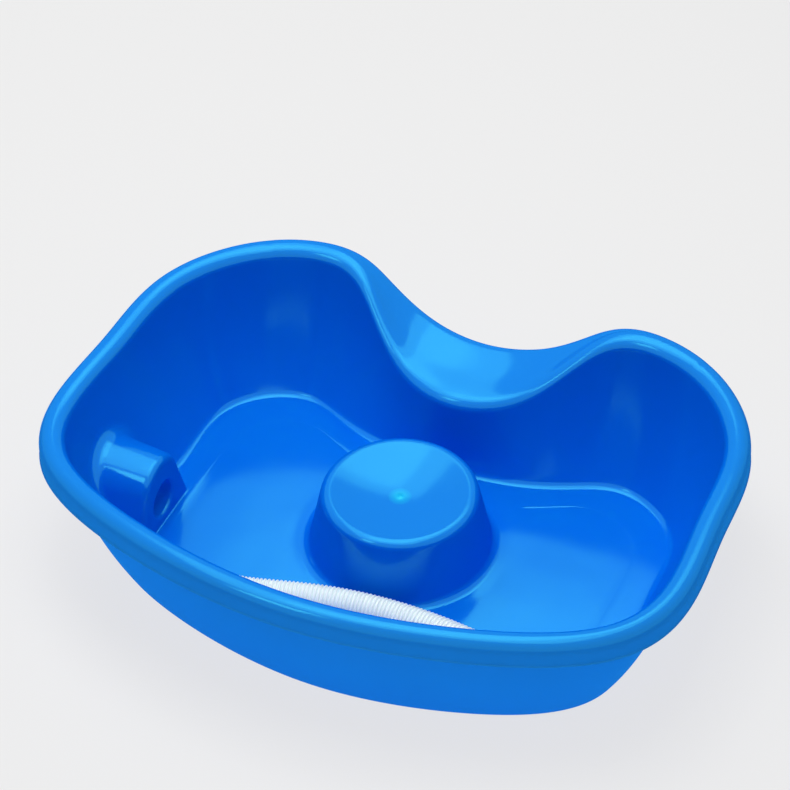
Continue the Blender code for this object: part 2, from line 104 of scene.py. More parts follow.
def place_piece(name, shape, sharp_degrees=35):
    """Finish a working mesh as a smooth-shaded object at the origin."""
    mesh = bpy.data.meshes.new(name)
    shape.to_mesh(mesh)
    shape.free()
    mesh.shade_smooth()
    mesh.set_sharp_from_angle(angle=math.radians(sharp_degrees))
    piece = bpy.data.objects.new(name, mesh)
    bpy.context.scene.collection.objects.link(piece)
    print(name, len(mesh.vertices), "vertices", len(mesh.polygons), "faces")
    return piece


def grid_sheet(rows, closed=True):
    """Sheet of quads over rows of points: closed rows run once round and meet themselves."""
    lines = [list(row) + [row[0]] if closed else list(row) for row in rows]
    shape = bmesh.new()
    bmesh.ops.create_grid(shape, x_segments=len(lines[0]) - 1, y_segments=len(lines) - 1, size=0.5)
    shape.verts.ensure_lookup_table()
    width = len(lines[0])
    for index, vert in enumerate(shape.verts):
        vert.co = lines[index // width][index % width]
    bmesh.ops.remove_doubles(shape, verts=shape.verts, dist=MERGE_GAP)
    return shape


def even_shares(steps):
    """Shares from 0 to 1 in even steps, with both ends."""
    return [step / steps for step in range(steps + 1)]


def closed_pairs(line):
    """Each item of a closed line with the next one."""
    return zip(line, line[1:] + line[:1])


def with_neighbours(line):
    """Each item of a closed line between the one before it and the next one."""
    return zip(line[-1:] + line[:-1], line, line[1:] + line[:1])


def search_tree(points):
    """A tree that finds the nearest of some points."""
    tree = KDTree(len(points))
    for index, point in enumerate(points):
        tree.insert(point, index)
    tree.balance()
    return tree


def even_route(points, pitch):
    """Points spaced evenly on a smooth curve through the given ones, and the curve's length."""
    route = [Vector(p) for p in points]
    ends = [route[0] * 2 - route[1]] + route + [route[-1] * 2 - route[-2]]
    fine = []
    for a, b, c, d in zip(ends, ends[1:], ends[2:], ends[3:]):
        steps = max(2, round((c - b).length / pitch * ROUTE_FINENESS))
        slope, curve, twist = c - a, a * 2 - b * 5 + c * 4 - d, b * 3 - a - c * 3 + d
        for t in even_shares(steps)[:-1]:
            fine.append(b + (slope * t + curve * t**2 + twist * t**3) / 2)
    fine.append(route[-1])
    travel = [0.0]
    for a, b in zip(fine, fine[1:]):
        travel.append(travel[-1] + (b - a).length)
    count = max(2, round(travel[-1] / pitch))
    even, index = [], 0
    for step in range(count + 1):
        goal = travel[-1] * step / count
        while index < len(travel) - 2 and travel[index + 1] < goal:
            index += 1
        share = (goal - travel[index]) / (travel[index + 1] - travel[index])
        even.append(fine[index].lerp(fine[index + 1], share))
    return even, travel[-1]


# %% [markdown]
# ## Ribbed hose
# The drain hose is a blown corrugated tube: round ribs stand side by side over a thin wall, and both
# ends run plain into their fittings. It lies loose on the floor in front of the head rest. The tube
# is one sheet: its outer skin follows the ribs with several rings to each, turns round the end, and
# comes back through the bore, so the wall has a real thickness at both mouths.

# %% Hose
HOSE_DIAMETER = 0.028
HOSE_RIB_PITCH = 0.0032
HOSE_RIB_DEPTH = 0.0013
HOSE_WALL = 0.0012
HOSE_SIDES = 40
RIB_RINGS = 8
BORE_RING_STEP = 4  # the plain bore needs only every fourth ring
RIB_CUT = 0.0016  # depth of the sharp grooves
RIB_SHARPNESS = 1.3
PLAIN_END_SHARE = 0.75  # of a rib
HOSE_ROUTE = (
    (-0.1360, -0.1070, 0.0197), (-0.1266, -0.1072, 0.0190), (-0.1173, -0.1072, 0.0184),
    (-0.1079, -0.1069, 0.0179), (-0.0985, -0.1061, 0.0176), (-0.0880, -0.1045, 0.0174),
    (-0.0780, -0.1022, 0.0174), (-0.0660, -0.0988, 0.0174), (-0.0480, -0.0936, 0.0174),
    (-0.0240, -0.0875, 0.0174), (0.0000, -0.0833, 0.0174), (0.0240, -0.0810, 0.0174),
    (0.0456, -0.0804, 0.0174), (0.0700, -0.0812, 0.0174), (0.0920, -0.0833, 0.0174),
    (0.1040, -0.0849, 0.0175), (0.1160, -0.0860, 0.0176), (0.1280, -0.0863, 0.0177),
    (0.1400, -0.0859, 0.0179), (0.1500, -0.0853, 0.0181), (0.1600, -0.0847, 0.0183),
    (0.1700, -0.0841, 0.0185),
)
HOSE_RADIUS = HOSE_DIAMETER / 2
HOSE_BORE_RADIUS = HOSE_RADIUS - HOSE_RIB_DEPTH - HOSE_WALL


def ring_round(centre, along, radius, sides):
    """Points on a circle square to a direction, the first one at its highest."""
    side = along.cross(Vector((0, 0, 1))).normalized()
    up = side.cross(along).normalized()
    turns = [math.tau * step / sides for step in range(sides)]
    return [centre + (up * math.cos(a) + side * math.sin(a)) * radius for a in turns]


def rib_radius(distance, length):
    """Outer radius of the hose: narrow crests over sharp grooves, and a short plain end."""
    plain = HOSE_RIB_PITCH * PLAIN_END_SHARE
    if distance < plain or distance > length - plain:
        return HOSE_RADIUS - HOSE_RIB_DEPTH
    phase = (distance / HOSE_RIB_PITCH) % 1.0
    crest = math.sin(math.pi * (1 - abs(2 * phase - 1)) / 2) ** RIB_SHARPNESS
    return HOSE_RADIUS - RIB_CUT * (1 - crest)


def make_hose():
    """One closed skin: ribs outside, plain bore inside."""
    points, length = even_route(HOSE_ROUTE, HOSE_RIB_PITCH / RIB_RINGS)
    step = length / (len(points) - 1)
    befores, afters = points[:1] + points, points[1:] + points[-1:]
    aims = [(after - before).normalized() for before, after in zip(befores, afters)]
    radii = [rib_radius(index * step, length) for index in range(len(points))]
    outer = [ring_round(p, aim, radius, HOSE_SIDES) for p, aim, radius in zip(points, aims, radii)]
    inner = [ring_round(p, aim, HOSE_BORE_RADIUS, HOSE_SIDES) for p, aim in zip(points, aims)]
    shape = grid_sheet(outer + inner[::-BORE_RING_STEP] + [outer[0]])
    bmesh.ops.recalc_face_normals(shape, faces=shape.faces)
    hose = place_piece("ribbed_hose", shape, sharp_degrees=60)
    middles = search_tree(points)
    crest = hose.data.attributes.new("rib_crest", "FLOAT", "POINT")
    for value, vert in zip(crest.data, hose.data.vertices):
        height = middles.find(vert.co)[2] - HOSE_RADIUS + RIB_CUT
        value.value = max(0.0, min(1.0, height / RIB_CUT))
    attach(hose, "hose")
    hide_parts("drain_hose")
    print("hose length", round(length, 4), "m")
    return hose, points, length


hose, hose_points, hose_length = make_hose()

# %% [markdown]
# ## Hose fittings
# The plug is turned: a sleeve that takes the hose, a flange that stops against the boss, and a
# tapered nose with two sealing ribs. The cuff at the other end is a plain mouth with a thick lip.
# A closed profile turned once round the hose's own direction makes either one with its bore, and
# short curves in place of the profile's corners give the softened edges of a moulding. The spin
# operator would turn it too, but it gives the faces in another order each time. A grid doesn't.

# %% Hose fittings
BORE_DIAMETER = 0.031
BORE_FIT = 0.0003
TOUCH_GAP = 0.0003
PLUG_SLEEVE_LENGTH = 0.010
PLUG_FLANGE_WIDTH = 0.0025
PLUG_FLANGE_THICKNESS = 0.003
PLUG_NOSE_LENGTH = 0.018
PLUG_NOSE_TAPER = 0.0010
PLUG_SEAL_PLACES = (0.25, 0.5)  # shares of the nose
PLUG_SEAL_HEIGHT = 0.0004
PLUG_SEAL_WIDTH = 0.0025
SEAL_STEPS = 6
CUFF_LENGTH = 0.024
CUFF_RIM_WIDTH = 0.003
CUFF_RIM_HEIGHT = 0.0010
FITTING_EDGE = 0.0005
FITTING_STEPS = 72
CORNER_STEPS = 3
CORNER_SHARE = 0.45  # of the shorter side
STRAIGHT_ON = -0.97  # cosine between the two sides
BORE_RADIUS = BORE_DIAMETER / 2


def bend(start, corner, end, share):
    """A point on the curve that leaves start towards corner and reaches end from it."""
    return start * (1 - share) ** 2 + corner * 2 * share * (1 - share) + end * share**2


def round_corners(profile, radius):
    """Replace each corner of a closed outline by a short arc-like curve."""
    rounded = []
    for before, corner, after in with_neighbours([Vector(point) for point in profile]):
        into, away = before - corner, after - corner
        if into.normalized().dot(away.normalized()) < STRAIGHT_ON:
            rounded.append(corner)
            continue
        reach = min(radius, into.length * CORNER_SHARE, away.length * CORNER_SHARE)
        start, end = corner + into.normalized() * reach, corner + away.normalized() * reach
        rounded += [bend(start, corner, end, share) for share in even_shares(CORNER_STEPS)]
    return rounded


def make_fitting(name, node, profile, start, along):
    """Turn a closed profile of (distance along, radius) round the hose's direction."""
    side = along.orthogonal().normalized()
    outline, rows = round_corners(profile, FITTING_EDGE), []
    for share in even_shares(FITTING_STEPS):
        out = Matrix.Rotation(math.tau * share, 3, along) @ side
        rows.append([start + along * point.x + out * point.y for point in outline])
    shape = grid_sheet(rows)
    bmesh.ops.recalc_face_normals(shape, faces=shape.faces)
    piece = place_piece(name, shape, sharp_degrees=40)
    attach(piece, "hose")
    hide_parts(node)
    return piece


def make_plug():
    """Plug on the hose's first end, pointing away from the hose."""
    along = (hose_points[0] - hose_points[1]).normalized()
    nose = BORE_RADIUS - BORE_FIT - PLUG_SEAL_HEIGHT
    flange = BORE_RADIUS + PLUG_FLANGE_WIDTH - HOSE_RIB_DEPTH
    flange_end = PLUG_SLEEVE_LENGTH + PLUG_FLANGE_THICKNESS
    tip = flange_end + PLUG_NOSE_LENGTH
    profile = [(0.0, HOSE_BORE_RADIUS), (0.0, HOSE_RADIUS), (PLUG_SLEEVE_LENGTH, HOSE_RADIUS)]
    profile += [(PLUG_SLEEVE_LENGTH, flange), (flange_end, flange), (flange_end, nose)]
    for place in PLUG_SEAL_PLACES:
        start = flange_end + PLUG_NOSE_LENGTH * place - PLUG_SEAL_WIDTH / 2
        for share in even_shares(SEAL_STEPS):
            rise = math.sin(math.pi * share) * PLUG_SEAL_HEIGHT
            profile.append((start + PLUG_SEAL_WIDTH * share, nose + rise))
    profile += [(tip, nose - PLUG_NOSE_TAPER), (tip, HOSE_BORE_RADIUS)]
    return make_fitting("drain_plug", "hose_plug", profile, hose_points[0] + along * TOUCH_GAP, along)


def make_cuff():
    """Cuff on the far end, with a thicker lip."""
    along = (hose_points[-1] - hose_points[-2]).normalized()
    lip = HOSE_RADIUS + CUFF_RIM_HEIGHT
    edge = CUFF_LENGTH - CUFF_RIM_WIDTH
    profile = [(0.0, HOSE_BORE_RADIUS), (0.0, HOSE_RADIUS), (edge, HOSE_RADIUS), (edge, lip)]
    profile += [(CUFF_LENGTH, lip), (CUFF_LENGTH, HOSE_BORE_RADIUS)]
    return make_fitting("end_cuff", "hose_cuff", profile, hose_points[-1] + along * TOUCH_GAP, along)


plug = make_plug()
cuff = make_cuff()

# %% [markdown]
# ## The tub's outlines
# Seen from above, the rim, the inner crest and the floor are three smooth closed lines. Each is a
# B-spline on a few control points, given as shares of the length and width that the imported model
# has. The line dips at the back, where the neck lies, and the crest runs further in there than the
# rim does, which opens the broad saddle between them.

# %% Outlines
WALL = 0.003
RIM_HEIGHT = 0.127  # above the floor
ROLL_RADIUS = 0.011
SKIRT_DROP = 0.0215
SKIRT_LIP = 0.0010  # outward
SKIRT_LIP_HEIGHT = 0.0013
RIM_PLAN_SHARES = (
    (0.000, 0.899), (0.220, 0.949), (0.372, 0.974), (0.498, 1.021), (0.779, 0.930), (0.998, 0.550),
    (0.978, 0.095), (1.019, -0.317), (0.935, -0.685), (0.511, -0.920), (0.000, -1.040),
)
NECK_DIP = 0.050
NECK_DEPTH = 0.059
NECK_RIM_DIP_SHARES = (1.00, 0.88, 0.24, -0.05)
NECK_CREST_DIP_SHARES = (1.08, 1.05, 0.16, -0.05)
NECK_CREST_DEPTH_SHARES = (1.00, 0.73, 0.20, 0.00)
FLOOR_LENGTH = 0.425
FLOOR_WIDTH = 0.2943
FLOOR_FORWARD = 0.0093
FLOOR_FILLET = 0.008
WALL_SWEEP_RADIUS = 0.280
FLOOR_PLAN_SHARES = (
    (0.000, 0.768), (0.311, 0.809), (0.499, 0.931), (0.635, 1.023), (0.809, 0.969), (0.998, 0.707),
    (0.955, 0.211), (1.021, -0.319), (0.929, -0.628), (0.605, -0.872), (0.000, -1.065),
)
SPAN_STEPS = 16
BOX_MARGIN = 0.0001
FLOOR_TOP = WALL
UP = Vector((0, 0, 1))

tub_low, tub_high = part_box("basin")
TUB_LENGTH = tub_high.x - tub_low.x - BOX_MARGIN
TUB_WIDTH = tub_high.y - tub_low.y - BOX_MARGIN
ROLL_Z = FLOOR_TOP + RIM_HEIGHT - ROLL_RADIUS


def smooth_loop(half_points):
    """Closed uniform cubic B-spline through a half outline and its mirror image."""
    mirrored = [Vector((-p[0], *p[1:])) for p in half_points[-2:0:-1]]
    control = [Vector(p) for p in half_points] + mirrored
    loop = []
    for index in range(len(control)):
        a, b, c, d = (control[(index + shift) % len(control)] for shift in (-1, 0, 1, 2))
        for t in even_shares(SPAN_STEPS)[:-1]:
            near = a * (1 - t) ** 3 + b * (3 * t**3 - 6 * t**2 + 4)
            loop.append((near + c * (3 * t + 3 * t**2 - 3 * t**3 + 1) + d * t**3) / 6)
    return loop


def plan_points(shares, length, width):
    """Control points of a plan in metres, whose smooth line is just as long and wide as given."""
    loop = smooth_loop([(x, y, 0) for x, y in shares])
    top, bottom = max(p.y for p in loop), min(p.y for p in loop)
    x_scale, y_scale = length / 2 / max(p.x for p in loop), width / (top - bottom)
    return [(x * x_scale, (y - (top + bottom) / 2) * y_scale) for x, y in shares]


def rim_lines():
    """Centre lines of the rim's outer roll and of its inner crest, with their heights."""
    plan = plan_points(RIM_PLAN_SHARES, TUB_LENGTH - 2 * ROLL_RADIUS, TUB_WIDTH - 2 * ROLL_RADIUS)
    neck = (NECK_RIM_DIP_SHARES, NECK_CREST_DIP_SHARES, NECK_CREST_DEPTH_SHARES)
    rim, crest = [], []
    for (x, y), rim_dip, crest_dip, depth in zip_longest(plan, *neck, fillvalue=0.0):
        rim.append((x, y, ROLL_Z - NECK_DIP * rim_dip))
        crest.append((x, y - NECK_DEPTH * depth, ROLL_Z - NECK_DIP * crest_dip))
    return smooth_loop(rim), smooth_loop(crest)


floor_plan = plan_points(FLOOR_PLAN_SHARES, FLOOR_LENGTH, FLOOR_WIDTH)
foot_line = smooth_loop([(x, y - FLOOR_FORWARD, FLOOR_TOP) for x, y in floor_plan])
rim_line, crest_line = rim_lines()
STATIONS = len(rim_line)
print("stations round the tub", STATIONS)

# %% [markdown]
# ## Wall section
# At every station the wall is one chain of tangent curves: a small fillet out of the floor, a wall
# that bulges slightly, the roll over the crest, the saddle across to the outer edge, the roll over
# the rim, and the skirt, whose lower edge turns outward in a small lip. Fillets between separate
# walls could give the same form, but a chain leaves no seams. Where the crest and the rim are the
# same line the saddle has no width, and its rows fall together.

# %% Wall section
FILLET_STEPS, WALL_STEPS, CREST_STEPS, SADDLE_STEPS, ROLL_STEPS = 8, 14, 10, 10, 14
SKIRT_STEPS = 3
SADDLE_SAG = 0.0008
SADDLE_SAG_SHARE = 0.05  # of the saddle's width, where that is less
FLOOR_DOWN = math.radians(-90)
UPRIGHT = math.radians(90)


def arc(centre, level_out, radius, first, last, steps):
    """Points round a centre, between two angles measured from level outward."""
    turns = [first + (last - first) * step / steps for step in range(steps + 1)]
    return [centre + level_out * radius * math.cos(a) + UP * radius * math.sin(a) for a in turns]


def outer_roll(centre, level_out, first):
    """Points over the rim down to level, drawn in a little so that the skirt's lip can stand out."""
    points = []
    for share in even_shares(ROLL_STEPS):
        turn = first * (1 - share)
        reach = ROLL_RADIUS - SKIRT_LIP * math.sin(UPRIGHT * share) ** 2
        points.append(centre + level_out * reach * math.cos(turn) + UP * ROLL_RADIUS * math.sin(turn))
    return points


def level_outward(loop, index):
    """Level direction square to a loop, pointing out of the tub."""
    along = loop[(index + 1) % len(loop)] - loop[index - 1]
    return Vector((-along.y, along.x, 0)).normalized()


def wall_section(foot, crest, rim, rim_out):
    """Points of the inner surface at one station, from the floor to the skirt's lower edge."""
    run, rise = Vector((crest.x - foot.x, crest.y - foot.y, 0)), crest.z - foot.z
    out, reach = run.normalized(), math.hypot(run.length, rise)
    lean = math.atan2(rise, run.length) + math.asin(ROLL_RADIUS / reach)
    bow = math.asin(min(1.0, reach / (2 * WALL_SWEEP_RADIUS)))
    high_lean = lean + max(0.0, min(bow, UPRIGHT - lean))
    centre = foot - out * FLOOR_FILLET * math.tan(lean / 2) + UP * FLOOR_FILLET
    points = arc(centre, out, FLOOR_FILLET, FLOOR_DOWN, FLOOR_DOWN + lean - bow, FILLET_STEPS)
    start, turn = points[-1], UPRIGHT + high_lean
    end = arc(crest, out, ROLL_RADIUS, turn, turn, 1)[0]
    chord = end - start
    side = out * chord.z - UP * chord.dot(out)
    bulge = side.normalized() * chord.length**2 / (8 * WALL_SWEEP_RADIUS)
    for share in even_shares(WALL_STEPS)[1:-1]:
        points.append(start + chord * share + bulge * 4 * share * (1 - share))
    across = math.hypot(rim.x - crest.x, rim.y - crest.y)
    tilt = math.atan2(rim.z - crest.z, across) if across > MERGE_GAP else 0.0
    top = UPRIGHT + tilt
    points += arc(crest, out, ROLL_RADIUS, turn, top, CREST_STEPS)
    outer = outer_roll(rim, rim_out, top)
    inner_edge, sag = points[-1], min(SADDLE_SAG, across * SADDLE_SAG_SHARE)
    for share in even_shares(SADDLE_STEPS)[1:-1]:
        points.append(inner_edge.lerp(outer[0], share) - UP * sag * math.sin(math.pi * share) ** 2)
    hang = UP * (rim.z + ROLL_RADIUS - SKIRT_DROP + SKIRT_LIP_HEIGHT - outer[-1].z)
    skirt = [outer[-1] + hang * step / SKIRT_STEPS for step in range(1, SKIRT_STEPS + 1)]
    lip = [
        skirt[-1] + rim_out * SKIRT_LIP * share**2 - UP * SKIRT_LIP_HEIGHT * share
        for share in even_shares(SKIRT_STEPS)[1:]
    ]
    return points + outer + skirt + lip


wall_columns = [
    wall_section(foot_line[i], crest_line[i], rim_line[i], level_outward(rim_line, i))
    for i in range(STATIONS)
]
print("rows up the wall", len(wall_columns[0]))

# %% [markdown]
# ## Head rest
# The rest is a turned shape: a shallow dish with the moulding gate at its centre, a round edge, a
# leaning side and a fillet into the floor. A lathe would turn it as a piece of its own. Here its
# outline becomes the inner end of every column of the tub's grid, so no seam is left at its foot.

# %% Head rest
REST_TOP_DIAMETER = 0.128
REST_BASE_DIAMETER = 0.1494
REST_HEIGHT = 0.0586
REST_BACK = 0.0118
REST_EDGE_RADIUS = 0.008
REST_DISH = 0.008
REST_FOOT_FILLET = 0.008
GATE_RADIUS, GATE_HEIGHT = 0.0030, 0.0005
GATE_STEPS, DISH_STEPS, EDGE_STEPS, SIDE_STEPS, FOOT_STEPS = 4, 12, 12, 6, 8


def rest_profile():
    """Points of the head rest's outline above the floor, from its axis out, with x as the radius."""
    edge_r, edge_z = REST_TOP_DIAMETER / 2 - REST_EDGE_RADIUS, REST_HEIGHT - REST_EDGE_RADIUS
    drop, base_r = REST_EDGE_RADIUS - REST_DISH, REST_BASE_DIAMETER / 2
    dish_radius = (edge_r**2 + drop**2 - REST_EDGE_RADIUS**2) / (2 * REST_DISH)
    dish_turn = math.asin(edge_r / (dish_radius + REST_EDGE_RADIUS))
    spread = base_r - edge_r
    lean = math.atan2(edge_z, spread) + math.asin(REST_EDGE_RADIUS / math.hypot(edge_z, spread))
    foot_r = base_r + REST_FOOT_FILLET * math.tan(lean / 2)
    out, dish_low = Vector((1, 0, 0)), UP * (REST_HEIGHT - REST_DISH)
    points = [
        dish_low + out * GATE_RADIUS * share + UP * GATE_HEIGHT * math.cos(UPRIGHT * share) ** 2
        for share in even_shares(GATE_STEPS)
    ]
    centre = dish_low + UP * dish_radius
    points += arc(centre, out, dish_radius, FLOOR_DOWN, FLOOR_DOWN + dish_turn, DISH_STEPS)[1:]
    centre = Vector((edge_r, 0, edge_z))
    points += arc(centre, out, REST_EDGE_RADIUS, UPRIGHT + dish_turn, UPRIGHT - lean, EDGE_STEPS)[1:]
    centre = Vector((foot_r, 0, REST_FOOT_FILLET))
    foot = arc(centre, out, REST_FOOT_FILLET, FLOOR_DOWN - lean, FLOOR_DOWN, FOOT_STEPS)
    points += [points[-1].lerp(foot[0], share) for share in even_shares(SIDE_STEPS)[1:-1]]
    return points + foot


rest_outline = rest_profile()
print("rest outline", len(rest_outline), "points, foot radius", round(rest_outline[-1].x, 4))

# %% [markdown]
# ## Floor
# The floor carries a very shallow panel that runs like a horseshoe round the rest. A bump in the
# finish could only hint at it. Its border follows a smooth line of its own, so the rows of the grid
# are bunched on that line, and the step is real geometry a fifth of a millimetre high.

# %% Floor
PANEL_DEPTH = 0.0002
PANEL_STEP = 0.0024
PANEL_INSET = 0.3  # steps of level floor before the panel begins
PANEL_STEPS, MARGIN_STEPS = 14, 4
PANEL_LEAST_WIDTH = 0.010
PANEL_LEAST_SHARE = 0.5
PANEL_EASE = 6  # rounds of smoothing where the panel begins and ends
PANEL_PLAN = (
    (0.000, 0.0835), (0.031, 0.0775), (0.0570, 0.0590), (0.0615, 0.0710), (0.0900, 0.0810),
    (0.1170, 0.0975), (0.1410, 0.0980), (0.1670, 0.0840), (0.1795, 0.0655), (0.1815, 0.0370),
    (0.1812, -0.0190), (0.1812, -0.0620), (0.1690, -0.1010), (0.1160, -0.1330), (0.0000, -0.1560),
)  # behind and beside the rest's axis
CROSSING_SLACK = 0.001  # share of one piece of a line
PARALLEL = 1e-12


def crossing(run, gap, side):
    """Shares of a run and of a side, a gap away, where the two cross, or None if they are parallel."""
    scale = run.x * side.y - run.y * side.x
    if abs(scale) < PARALLEL:
        return None
    return (gap.x * side.y - gap.y * side.x) / scale, (gap.x * run.y - gap.y * run.x) / scale


def crossing_share(start, end, loop):
    """How far along a line it last crosses a closed loop, seen from above, or zero."""
    best = 0.0
    for a, b in closed_pairs(loop):
        met = crossing(end - start, a - start, b - a)
        if met and 0 <= met[0] <= 1 and -CROSSING_SLACK <= met[1] <= 1 + CROSSING_SLACK:
            best = max(best, met[0])
    return best


def smoothed(values, rounds):
    """Values round a closed line, each averaged with its neighbours some times over."""
    for _ in range(rounds):
        values = [(a + value * 2 + b) / 4 for a, value, b in with_neighbours(values)]
    return values


def floor_column(circle, edge, outer, depth):
    """Points across the floor at one station, with the panel between the rest and its border."""
    run = edge - circle
    step_share = min(PANEL_STEP / run.length, outer / 4)
    first, last = step_share * (PANEL_INSET + 1), outer - step_share
    shares = [(step_share * PANEL_INSET, 0.0), (first, depth)]
    shares += [(first + (last - first) * step / PANEL_STEPS, depth) for step in range(1, PANEL_STEPS)]
    shares += [(last, depth), (outer - step_share / 2, depth / 2), (outer, 0.0)]
    shares += [(outer + (1 - outer) * step / MARGIN_STEPS, 0.0) for step in range(1, MARGIN_STEPS)]
    return [circle + run * share - UP * height for share, height in shares]


def inner_columns():
    """For every station, the points from the rest's axis to the wall's fillet."""
    axis, back = Vector((0, REST_BACK, FLOOR_TOP)), Vector((0, REST_BACK, 0))
    panel_loop = [point + back for point in smooth_loop([(x, y, 0) for x, y in PANEL_PLAN])]
    rests, ends, depths = [], [], []
    for i in range(STATIONS):
        turn = math.tau * i / STATIONS
        away, edge = Vector((math.sin(turn), math.cos(turn), 0)), wall_columns[i][0]
        rests.append([axis + away * point.x + UP * point.z for point in rest_outline])
        share = crossing_share(rests[-1][-1], edge, panel_loop)
        there = share * (edge - rests[-1][-1]).length > PANEL_LEAST_WIDTH
        ends.append(share if there else PANEL_LEAST_SHARE)
        depths.append(PANEL_DEPTH if there else 0.0)
    ends, depths = smoothed(ends, PANEL_EASE), smoothed(depths, PANEL_EASE)
    return [
        rest + floor_column(rest[-1], column[0], end, depth)
        for rest, column, end, depth in zip(rests, wall_columns, ends, depths)
    ]


tub_columns = [inner + wall for inner, wall in zip(inner_columns(), wall_columns)]
print("rows from the rest's axis to the skirt", len(tub_columns[0]))

# %% [markdown]
# ## Drain boss
# The drain is moulded with the tub: an arched boss that grows out of the end wall, with a flat face,
# soft front edges, a small fillet on the floor, and a bore that runs on behind as a short spigot.
# A union of two solids would leave a hard seam, so the boss is drawn as part of the same sheet. Its
# form is one open line over the arch, which can be drawn at any depth and grown to all sides.

# %% Drain boss
BORE_SILL = 0.0075
BORE_LIP = 0.0032
BORE_FORWARD = 0.0412
BOSS_REACH = 0.0262
BOSS_ARCH_RADIUS = 0.0285
BOSS_ARCH_RISE = 0.012
BOSS_FLARE = math.radians(18.5)
BOSS_EDGE_RADIUS = 0.0062
BOSS_DRAFT = math.radians(5.0)
BOSS_BLEND = 0.010
BLEND_START_SHARE = 0.3  # of the boss's side, which stays straight at least so far
BOSS_FOOT_FILLET = 0.0013
SPIGOT_LENGTH = 0.026
LEG_STEPS, HALF_ARCH_STEPS, BOSS_EDGE_STEPS, BOSS_SIDE_STEPS, BLEND_STEPS = 12, 16, 8, 5, 8
BOTTOM_STEPS, LIP_STEPS, BORE_SIDES = 26, 8, 72
FLAT_BORDER = 0.0004
WINDOW_MARGIN = 0.006
BOSS_FACE_X = BOSS_REACH - FLOOR_LENGTH / 2
BORE_Z = FLOOR_TOP + BORE_SILL + BORE_RADIUS
BOSS_FOOT_Z = FLOOR_TOP + BOSS_FOOT_FILLET
BORE_MOUTH = Vector((BOSS_FACE_X, -BORE_FORWARD, BORE_Z))
print("bore's mouth at", [round(c, 4) for c in BORE_MOUTH])


def arch_turns():
    """Outward angle at each point over the arch, from the right foot to the left one."""
    half_arc = UPRIGHT - BOSS_FLARE
    right = [BOSS_FLARE] * LEG_STEPS
    right += [BOSS_FLARE + half_arc * step / HALF_ARCH_STEPS for step in range(HALF_ARCH_STEPS)]
    return right + [UPRIGHT] + [math.pi - turn for turn in reversed(right)]


def arch_ring(x, grow, foot_z):
    """Points over the arch at one depth, grown outward on all sides."""
    centre_z, radius = BORE_Z + BOSS_ARCH_RISE, BOSS_ARCH_RADIUS + grow
    spring_z = centre_z + radius * math.sin(BOSS_FLARE)
    leg = (spring_z - foot_z) / math.cos(BOSS_FLARE)
    points = []
    for index, turn in enumerate(arch_turns()):
        y, z = radius * math.cos(turn), centre_z + radius * math.sin(turn)
        steps_down = max(LEG_STEPS - index, index - LEG_STEPS - 2 * HALF_ARCH_STEPS, 0)
        down = leg * steps_down / LEG_STEPS
        y += math.copysign(down * math.sin(BOSS_FLARE), math.cos(turn))
        points.append(Vector((x, y - BORE_FORWARD, z - down * math.cos(BOSS_FLARE))))
    return points


# %% [markdown]
# ### Rings over the boss
# Rings of that line run from the face round its soft edge, and back towards the wall. The wall is
# curved, so rays find where each point meets it, and there the ring bends out of the boss's side
# into the wall. The last ring, both feet and the face's foot make up the boss's border.

# %% Rings over the boss
def boss_rings(wall_tree):
    """Rings over the arch, from the flat face round its edge and back into the wall."""
    rings = []
    for step in range(BOSS_EDGE_STEPS + 1):
        turn = UPRIGHT * step / BOSS_EDGE_STEPS
        x = BOSS_FACE_X - BOSS_EDGE_RADIUS * (1 - math.cos(turn))
        rings.append(arch_ring(x, -BOSS_EDGE_RADIUS * (1 - math.sin(turn)), BOSS_FOOT_Z))
    aims = [Vector((0, math.cos(turn), math.sin(turn))) for turn in arch_turns()]
    neck, back = rings[-1], Vector((-1, 0, 0))
    meets = [wall_tree.ray_cast(p, back + aim * math.tan(BOSS_DRAFT))[0] for p, aim in zip(neck, aims)]
    leaves = [
        start.lerp(meet, max(BLEND_START_SHARE, 1 - BOSS_BLEND / (meet - start).length))
        for start, meet in zip(neck, meets)
    ]
    lands = []
    for meet, aim in zip(meets, aims):
        beside = meet + aim * BOSS_BLEND
        lands.append(wall_tree.ray_cast(Vector((neck[0].x, beside.y, beside.z)), back)[0])
    for step in range(1, BOSS_SIDE_STEPS + 1):
        rings.append([p.lerp(q, step / BOSS_SIDE_STEPS) for p, q in zip(neck, leaves)])
    for step in range(1, BLEND_STEPS + 1):
        rings.append([bend(p, q, r, step / BLEND_STEPS) for p, q, r in zip(leaves, meets, lands)])
    return rings


def bottom_line(left, right):
    """Points between the two feet of a ring on the face."""
    return [left.lerp(right, step / BOTTOM_STEPS) for step in range(1, BOTTOM_STEPS)]


def boss_border(rings):
    """Closed outer border of the boss: over the wall, along the left foot, the face and the right foot."""
    left = [ring[-1] for ring in rings[-2::-1]]
    right = [ring[0] for ring in rings[:-1]]
    return rings[-1] + left + bottom_line(left[-1], right[0]) + right


# %% [markdown]
# ### A window for the boss
# The boss takes the place of some faces of the tub, so a window is opened in the grid, a little
# wider than the boss. To match its border with the boss's own, the floor and the end wall are laid
# flat side by side. Seen from one middle point, both borders then run round in turn.

# %% Window in the tub's grid
panel_row = len(tub_columns[0]) - len(wall_columns[0]) - MARGIN_STEPS  # the panel's outer border


